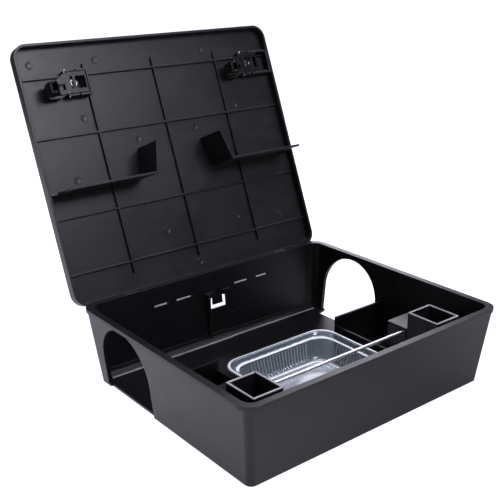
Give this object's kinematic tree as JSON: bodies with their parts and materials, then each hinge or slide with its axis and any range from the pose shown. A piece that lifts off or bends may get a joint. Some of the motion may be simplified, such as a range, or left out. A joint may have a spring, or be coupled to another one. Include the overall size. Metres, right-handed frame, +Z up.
{
  "type": "bait station",
  "caption": "Open-lid rodent bait station: drafted tub with two arched entrances, hinged ribbed lid with sprung latches, clear bait tray and a steel bait rod.",
  "frame": {"origin": "centre of the tub's flat underside", "axes": "+Z up; +Y towards the hinged rear; +X along the hinge, to the right when seen from the front; the lid is stored open, leaning back past upright against its stop"},
  "size_m": [0.303, 0.3591, 0.3084],
  "materials": {
    "black_plastic": "satin moulded black plastic with a fine grain",
    "gloss_black_plastic": "smooth glossy black moulded plastic",
    "clear_plastic": "thin clear formed plastic with a faint blue tint",
    "steel": "bright drawn steel wire"
  },
  "bodies": {
    "base": {"base_tub": "black_plastic", "partition_left": "black_plastic", "partition_right": "black_plastic", "lock_post_left": "black_plastic", "lock_post_right": "black_plastic", "rod_holder_left": "black_plastic", "rod_holder_right": "black_plastic", "hinge_pin_left": "steel", "hinge_pin_right": "steel"},
    "tray": {"bait_tray": "clear_plastic"},
    "rod": {"bait_rod": "steel"},
    "lid": {"lid_panel": "black_plastic", "baffle_left": "black_plastic", "baffle_right": "black_plastic", "latch_bracket_left": "black_plastic", "latch_bracket_right": "black_plastic", "latch_pin_left": "steel", "latch_pin_right": "steel", "latch_spring_left": "steel", "latch_spring_right": "steel"},
    "latch_left": {"latch_lever_left": "gloss_black_plastic"},
    "latch_right": {"latch_lever_right": "gloss_black_plastic"}
  },
  "joints": [
    {"name": "lid_hinge", "type": "hinge", "parent": "base", "child": "lid", "pos_m": [0, 0.1253, 0.0732], "axis": [1, 0, 0], "range_deg": [0, 111.85]},
    {"name": "tray_lift", "type": "slide", "parent": "base", "child": "tray", "axis": [0, 0, 1], "range_m": [0, 0.015]},
    {"name": "rod_slide", "type": "slide", "parent": "base", "child": "rod", "axis": [1, 0, 0], "range_m": [0, 0.01]},
    {"name": "latch_left_pivot", "type": "hinge", "parent": "lid", "child": "latch_left", "pos_m": [-0.104, 0.20845, 0.26956], "axis": [0, 0.3722, 0.9282], "range_deg": [0, 5], "stiffness_Nm_per_rad": 0.3, "springref_deg": -5.73, "deforming": ["latch_spring_left"]},
    {"name": "latch_right_pivot", "type": "hinge", "parent": "lid", "child": "latch_right", "pos_m": [0.11, 0.20845, 0.26956], "axis": [0, 0.3722, 0.9282], "range_deg": [0, 5], "stiffness_Nm_per_rad": 0.3, "springref_deg": -5.73, "deforming": ["latch_spring_right"]}
  ]
}
